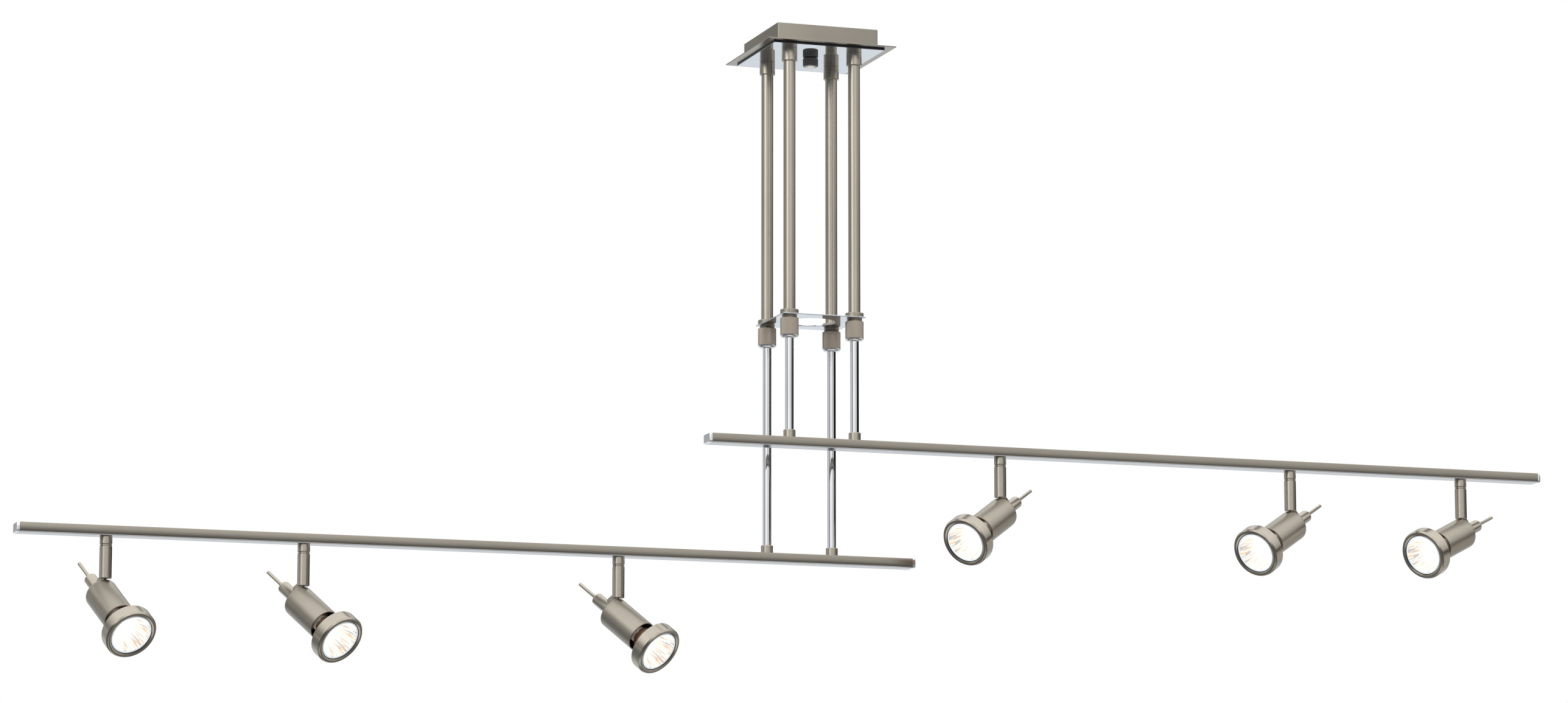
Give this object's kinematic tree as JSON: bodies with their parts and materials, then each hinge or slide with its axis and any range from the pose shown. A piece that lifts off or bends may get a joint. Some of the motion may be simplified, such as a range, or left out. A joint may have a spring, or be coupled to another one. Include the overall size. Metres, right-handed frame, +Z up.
{
  "type": "track lighting fixture",
  "caption": "Ceiling fixture with a square canopy, telescopic stems, staggered horizontal rails and aimable reflector-lamp spot heads.",
  "frame": {"origin": "centre of the canopy in the ceiling plane, midway between the two ceiling-box slots", "axes": "+X along the rails, towards the upper rail's long end; +Y away from the side that carries the upper rail; +Z up, out of the ceiling plane"},
  "size_m": [1.84, 0.1961, 0.7598],
  "materials": {
    "brushed_nickel": "satin nickel plate, brushed along each piece",
    "chrome": "polished chrome plate",
    "mirror_polish": "mirror polished, dark ground edge",
    "dark_knurl": "blackened fine knurl, bright end",
    "zinc_plate": "zinc plated",
    "steel_fasteners": "zinc plated steel",
    "black_plastic": "moulded",
    "nylon": "natural nylon",
    "ceramic_white": "glazed steatite",
    "lamp_glass": "faceted dichroic reflector, copper tint from behind, lit"
  },
  "bodies": {
    "canopy": {"ceiling_bracket": "zinc_plate", "canopy_fasteners": "steel_fasteners", "canopy_pan": "brushed_nickel", "trim_plate": "brushed_nickel", "mirror_panel": "mirror_polish", "terminal_block": "black_plastic", "stem_sockets": "brushed_nickel", "outer_tubes": "brushed_nickel", "spreader_plate": "chrome", "clamp_bushes": "brushed_nickel", "clamp_collets": "nylon"},
    "knob": {"canopy_knob": "dark_knurl"},
    "nut_1": {"clamp_nut_1": "brushed_nickel"},
    "nut_2": {"clamp_nut_2": "brushed_nickel"},
    "nut_3": {"clamp_nut_3": "brushed_nickel"},
    "nut_4": {"clamp_nut_4": "brushed_nickel"},
    "upper_rail_set": {"upper_rail": "brushed_nickel", "upper_rail_trim": "chrome", "upper_rail_collars": "brushed_nickel", "upper_rods": "chrome"},
    "lower_rail_set": {"lower_rail": "brushed_nickel", "lower_rail_trim": "chrome", "lower_rail_collars": "brushed_nickel", "lower_rods": "chrome"},
    "stem_1": {"head_1_stem": "brushed_nickel"},
    "head_1": {"head_1_tail": "brushed_nickel", "head_1_shell": "brushed_nickel", "head_1_lampholder": "ceramic_white", "head_1_lamp": "lamp_glass", "head_1_bezel": "brushed_nickel"},
    "stem_2": {"head_2_stem": "brushed_nickel"},
    "head_2": {"head_2_tail": "brushed_nickel", "head_2_shell": "brushed_nickel", "head_2_lampholder": "ceramic_white", "head_2_lamp": "lamp_glass", "head_2_bezel": "brushed_nickel"},
    "stem_3": {"head_3_stem": "brushed_nickel"},
    "head_3": {"head_3_tail": "brushed_nickel", "head_3_shell": "brushed_nickel", "head_3_lampholder": "ceramic_white", "head_3_lamp": "lamp_glass", "head_3_bezel": "brushed_nickel"},
    "stem_4": {"head_4_stem": "brushed_nickel"},
    "head_4": {"head_4_tail": "brushed_nickel", "head_4_shell": "brushed_nickel", "head_4_lampholder": "ceramic_white", "head_4_lamp": "lamp_glass", "head_4_bezel": "brushed_nickel"},
    "stem_5": {"head_5_stem": "brushed_nickel"},
    "head_5": {"head_5_tail": "brushed_nickel", "head_5_shell": "brushed_nickel", "head_5_lampholder": "ceramic_white", "head_5_lamp": "lamp_glass", "head_5_bezel": "brushed_nickel"},
    "stem_6": {"head_6_stem": "brushed_nickel"},
    "head_6": {"head_6_tail": "brushed_nickel", "head_6_shell": "brushed_nickel", "head_6_lampholder": "ceramic_white", "head_6_lamp": "lamp_glass", "head_6_bezel": "brushed_nickel"}
  },
  "joints": [
    {"name": "knob_turn", "type": "hinge", "parent": "canopy", "child": "knob", "pos_m": [0, 0, -0.031], "axis": [0, 0, -1], "range_deg": [0, 360]},
    {"name": "nut_1_turn", "type": "hinge", "parent": "canopy", "child": "nut_1", "pos_m": [-0.04, -0.04, -0.356], "axis": [0, 0, -1], "range_deg": [0, 360]},
    {"name": "nut_2_turn", "type": "hinge", "parent": "canopy", "child": "nut_2", "pos_m": [-0.04, 0.04, -0.356], "axis": [0, 0, -1], "range_deg": [0, 360]},
    {"name": "nut_3_turn", "type": "hinge", "parent": "canopy", "child": "nut_3", "pos_m": [0.04, -0.04, -0.356], "axis": [0, 0, -1], "range_deg": [0, 360]},
    {"name": "nut_4_turn", "type": "hinge", "parent": "canopy", "child": "nut_4", "pos_m": [0.04, 0.04, -0.356], "axis": [0, 0, -1], "range_deg": [0, 360]},
    {"name": "upper_rail_height", "type": "slide", "parent": "canopy", "child": "upper_rail_set", "axis": [0, 0, 1], "range_m": [-0.16, 0.095]},
    {"name": "lower_rail_height", "type": "slide", "parent": "canopy", "child": "lower_rail_set", "axis": [0, 0, 1], "range_m": [-0.13, 0.135]},
    {"name": "head_1_swivel", "type": "hinge", "parent": "lower_rail_set", "child": "stem_1", "pos_m": [-0.8176, 0.04, -0.6349], "axis": [0, 0, 1], "range_deg": [-170, 170]},
    {"name": "head_1_tilt", "type": "hinge", "parent": "stem_1", "child": "head_1", "pos_m": [-0.8176, 0.04, -0.6641], "axis": [0.9397, 0.342, 0], "range_deg": [-20, 27]},
    {"name": "head_2_swivel", "type": "hinge", "parent": "lower_rail_set", "child": "stem_2", "pos_m": [-0.592, 0.04, -0.6349], "axis": [0, 0, 1], "range_deg": [-170, 170]},
    {"name": "head_2_tilt", "type": "hinge", "parent": "stem_2", "child": "head_2", "pos_m": [-0.592, 0.04, -0.6641], "axis": [0.8572, 0.515, 0], "range_deg": [-18, 29]},
    {"name": "head_3_swivel", "type": "hinge", "parent": "lower_rail_set", "child": "stem_3", "pos_m": [-0.2207, 0.04, -0.6349], "axis": [0, 0, 1], "range_deg": [-170, 170]},
    {"name": "head_3_tilt", "type": "hinge", "parent": "stem_3", "child": "head_3", "pos_m": [-0.2207, 0.04, -0.6641], "axis": [0.829, 0.5592, 0], "range_deg": [-18, 29]},
    {"name": "head_4_swivel", "type": "hinge", "parent": "upper_rail_set", "child": "stem_4", "pos_m": [0.2207, -0.04, -0.5095], "axis": [0, 0, 1], "range_deg": [-170, 170]},
    {"name": "head_4_tilt", "type": "hinge", "parent": "stem_4", "child": "head_4", "pos_m": [0.2207, -0.04, -0.5387], "axis": [0.515, -0.8572, 0], "range_deg": [-12, 35]},
    {"name": "head_5_swivel", "type": "hinge", "parent": "upper_rail_set", "child": "stem_5", "pos_m": [0.592, -0.04, -0.5095], "axis": [0, 0, 1], "range_deg": [-170, 170]},
    {"name": "head_5_tilt", "type": "hinge", "parent": "stem_5", "child": "head_5", "pos_m": [0.592, -0.04, -0.5387], "axis": [0.4695, -0.8829, 0], "range_deg": [-10, 37]},
    {"name": "head_6_swivel", "type": "hinge", "parent": "upper_rail_set", "child": "stem_6", "pos_m": [0.8176, -0.04, -0.5095], "axis": [0, 0, 1], "range_deg": [-170, 170]},
    {"name": "head_6_tilt", "type": "hinge", "parent": "stem_6", "child": "head_6", "pos_m": [0.8176, -0.04, -0.5387], "axis": [0.4226, -0.9063, 0], "range_deg": [-5, 42]}
  ]
}
